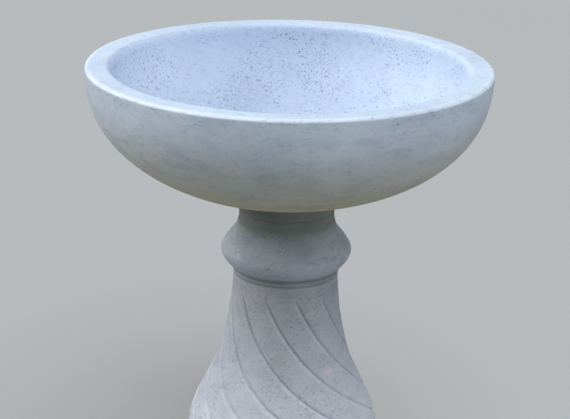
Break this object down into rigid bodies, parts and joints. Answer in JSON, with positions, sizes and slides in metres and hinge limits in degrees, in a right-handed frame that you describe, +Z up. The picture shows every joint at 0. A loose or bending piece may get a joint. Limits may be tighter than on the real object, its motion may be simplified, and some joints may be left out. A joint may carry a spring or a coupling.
{
  "type": "bird bath",
  "caption": "Cast-stone garden bird bath: a thick round bowl that lifts off a baluster pedestal with spiral grooves on its flared shaft.",
  "frame": {"origin": "on the ground, at the centre of the round foot", "axes": "+Z up along the axis of pedestal and bowl; -Y is the side seen in front"},
  "size_m": [0.4999, 0.4999, 0.64],
  "materials": {
    "cast_stone": "pale blue-grey cast stone with fine dark specks, matt",
    "pad_rubber": "matt black rubber",
    "pin_steel": "plain stainless bar",
    "sleeve_steel": "plain tube",
    "reinforcing_steel": "mill-finish steel bar"
  },
  "bodies": {
    "pedestal": {"pedestal": "cast_stone", "pedestal_sleeve": "sleeve_steel", "seat_pad_1": "pad_rubber", "seat_pad_2": "pad_rubber", "seat_pad_3": "pad_rubber", "pedestal_rod_1": "reinforcing_steel", "pedestal_rod_2": "reinforcing_steel", "pedestal_rod_3": "reinforcing_steel", "pedestal_rod_4": "reinforcing_steel", "pedestal_hoop_1": "reinforcing_steel", "pedestal_hoop_2": "reinforcing_steel", "pedestal_hoop_3": "reinforcing_steel", "pedestal_hoop_4": "reinforcing_steel", "pedestal_hoop_5": "reinforcing_steel"},
    "pin": {"locating_pin": "pin_steel"},
    "bowl": {"bowl": "cast_stone", "bowl_sleeve": "sleeve_steel", "bowl_bar_1": "reinforcing_steel", "bowl_bar_2": "reinforcing_steel", "bowl_bar_3": "reinforcing_steel", "bowl_bar_4": "reinforcing_steel", "bowl_bar_5": "reinforcing_steel", "bowl_bar_6": "reinforcing_steel", "bowl_rim_ring": "reinforcing_steel", "bowl_lower_ring": "reinforcing_steel"}
  },
  "joints": [
    {"name": "bowl_lift", "type": "slide", "parent": "pedestal", "child": "pin", "axis": [0, 0, 1], "range_m": [0, 0.12]},
    {"name": "bowl_turn", "type": "hinge", "parent": "pin", "child": "bowl", "pos_m": [0, 0, 0.475], "axis": [0, 0, 1], "continuous": true}
  ]
}
